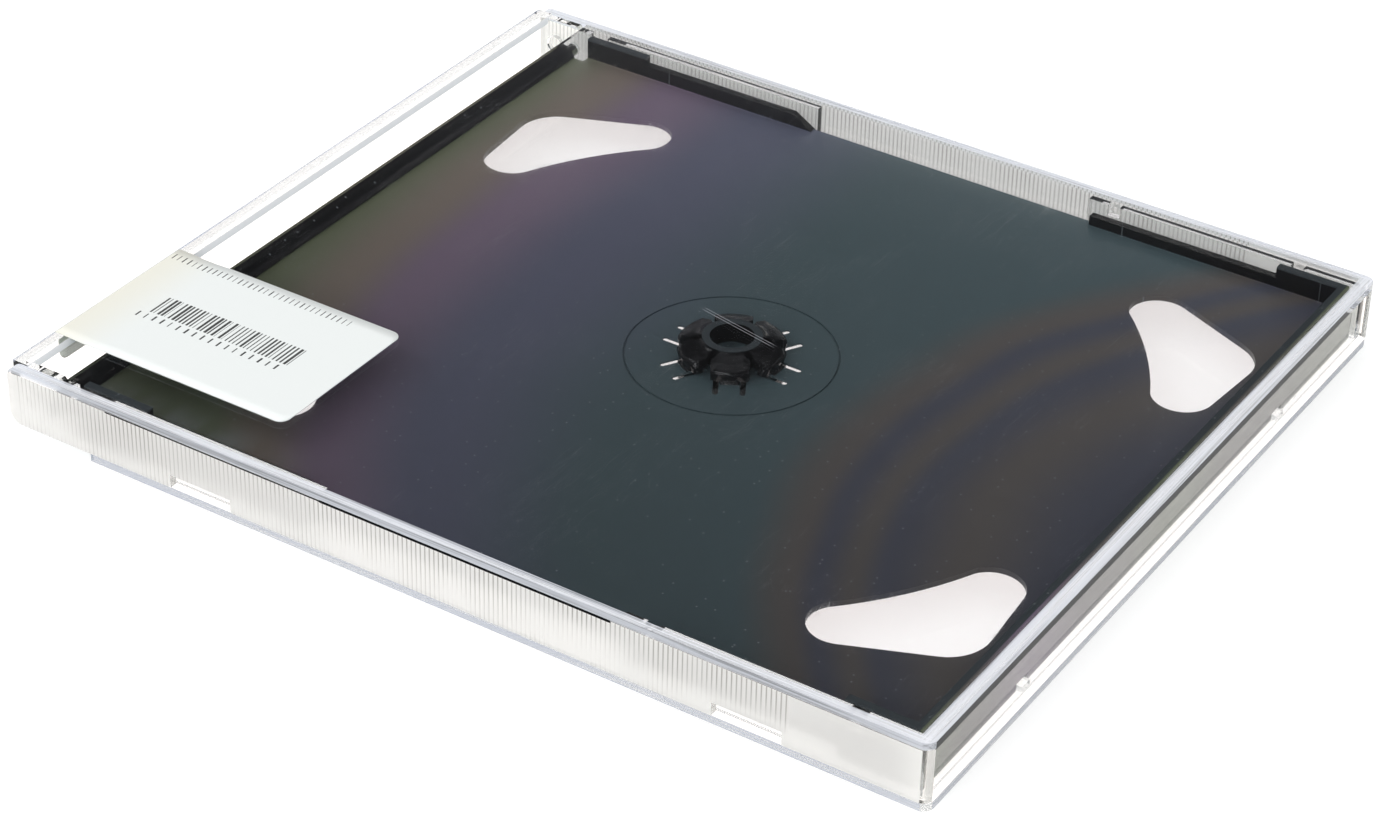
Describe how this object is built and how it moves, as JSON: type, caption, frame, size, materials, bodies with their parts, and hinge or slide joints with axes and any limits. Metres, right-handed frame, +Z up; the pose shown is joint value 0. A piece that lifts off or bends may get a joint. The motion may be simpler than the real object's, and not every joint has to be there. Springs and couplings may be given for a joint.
{
  "type": "cd jewel case",
  "caption": "Slim clear case for two discs: hinged lid, base and a black flip tray with a sprung hub on each face, with a blank price label.",
  "frame": {"origin": "bottom centre of the closed case", "axes": "+X from the hinged spine to the opening edge, +Z up through the lid, +Y to the left when looking from the spine to the opening"},
  "size_m": [0.142, 0.125, 0.0105],
  "materials": {
    "clear_lid": "clear crystal polystyrene, ribbed and frosted on the side walls",
    "clear_base": "clear crystal polystyrene",
    "black_tray": "satin black polystyrene with a faint coloured sheen",
    "label_paper": "matt white coated paper"
  },
  "bodies": {
    "base": {"base": "clear_base"},
    "lid": {"lid": "clear_lid", "price_label": "label_paper"},
    "tray": {"tray": "black_tray"}
  },
  "joints": [
    {"name": "lid_hinge", "type": "hinge", "parent": "base", "child": "lid", "pos_m": [-0.0672, 0, 0.0059], "axis": [0, -1, 0], "range_deg": [0, 180]},
    {"name": "tray_hinge", "type": "hinge", "parent": "base", "child": "tray", "pos_m": [-0.0638, 0, 0.0052], "axis": [0, -1, 0], "range_deg": [0, 90]}
  ],
  "couplings": [
    {"joint": "tray_hinge", "follows": "lid_hinge", "ratio": 0.5}
  ]
}
